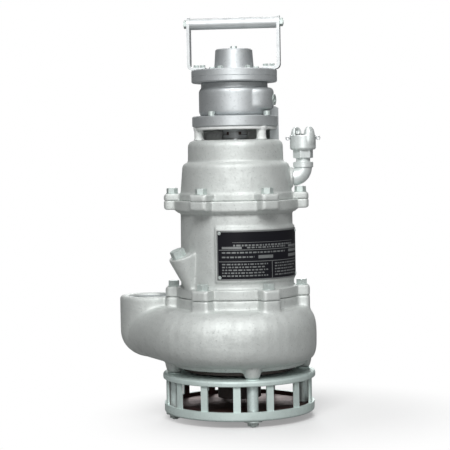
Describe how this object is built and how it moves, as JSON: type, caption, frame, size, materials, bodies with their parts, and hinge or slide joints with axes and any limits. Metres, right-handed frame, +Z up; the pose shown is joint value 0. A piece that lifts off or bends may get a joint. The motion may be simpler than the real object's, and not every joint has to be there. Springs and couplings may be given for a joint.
{
  "type": "air-operated submersible centrifugal pump",
  "caption": "Submersible sludge pump driven by a vane air motor: slotted strainer foot, volute casing with upturned discharge, oil housing, lantern, motor and lifting handle.",
  "frame": {"origin": "on the shaft's axis, in the plane of the four stud ends that the pump stands on", "axes": "+Z up along the shaft, the nameplate faces -Y, the air inlet is on +X and the discharge is on -X"},
  "size_m": [0.3894, 0.3109, 0.7585],
  "materials": {
    "cast_silver": "silver paint over sand-cast aluminium",
    "strainer_silver": "silver-green paint over cast aluminium",
    "motor_silver": "silver paint over turned and cast iron",
    "zinc": "zinc-plated steel",
    "handle_plate": "bright zinc-plated flat bar and tube",
    "iron_dark": "bare cast iron",
    "machined_steel": "turned and ground steel",
    "bearing_brass": "machined brass cage",
    "nameplate_black": "black printed aluminium",
    "rubber_black": "moulded rubber",
    "spider_red": "moulded polyurethane",
    "vane_brown": "laminated phenolic"
  },
  "bodies": {
    "frame_body": {"strainer_pan": "strainer_silver", "strainer_bars": "strainer_silver", "strainer_top_plate": "strainer_silver", "spacer_tubes": "strainer_silver", "strainer_studs": "zinc", "foot_nuts": "zinc", "foot_washers": "zinc", "lug_spacers": "strainer_silver", "suction_cover": "iron_dark", "cover_screws": "zinc", "volute_casing": "cast_silver", "casing_bolts": "zinc", "seal_plate": "iron_dark", "seal_seat": "iron_dark", "pump_bearing_outer_races": "machined_steel", "bearing_rings": "machined_steel", "oil_housing": "cast_silver", "oil_plug": "zinc", "nameplate": "nameplate_black", "nameplate_screws": "zinc", "upper_housing": "cast_silver", "housing_bolts": "zinc", "shaft_seal": "rubber_black", "air_elbow": "zinc", "claw_coupling": "zinc", "coupling_gasket": "rubber_black", "safety_clip": "machined_steel", "lantern": "motor_silver", "motor_flange": "motor_silver", "motor_flange_screws": "zinc", "air_riser": "motor_silver", "motor_body": "motor_silver", "motor_port_plug": "zinc", "motor_end_plate": "motor_silver", "motor_bearing_outer_races": "machined_steel", "top_cover": "motor_silver", "top_cover_bolts": "zinc", "bearing_cap": "motor_silver", "cap_plug": "zinc", "handle_straps": "handle_plate", "handle_grip": "handle_plate", "handle_tie_rod": "zinc", "handle_nuts": "zinc", "handle_foot_bolts": "zinc"},
    "rotor": {"pump_shaft": "machined_steel", "impeller": "iron_dark", "impeller_key": "machined_steel", "impeller_bolt": "zinc", "seal_head": "machined_steel", "pump_bearing_inner_races": "machined_steel", "drive_hub_lower": "machined_steel", "drive_spider": "spider_red", "drive_hub_upper": "machined_steel", "motor_rotor": "machined_steel", "motor_vanes": "vane_brown", "motor_bearing_inner_races": "machined_steel"},
    "pump_ball_cages": {"pump_bearing_balls": "machined_steel", "pump_bearing_cages": "bearing_brass"},
    "motor_ball_cages": {"motor_bearing_balls": "machined_steel"}
  },
  "joints": [
    {"name": "rotor_spin", "type": "hinge", "parent": "frame_body", "child": "rotor", "pos_m": [0, 0, 0.3], "axis": [0, 0, 1], "continuous": true},
    {"name": "pump_cage_spin", "type": "hinge", "parent": "frame_body", "child": "pump_ball_cages", "pos_m": [0, 0, 0.3], "axis": [0, 0, 1], "continuous": true},
    {"name": "motor_cage_spin", "type": "hinge", "parent": "frame_body", "child": "motor_ball_cages", "pos_m": [0, 0, 0.6], "axis": [0, 0, 1], "continuous": true}
  ],
  "couplings": [
    {"joint": "pump_cage_spin", "follows": "rotor_spin", "ratio": 0.4},
    {"joint": "motor_cage_spin", "follows": "rotor_spin", "ratio": 0.3968}
  ]
}
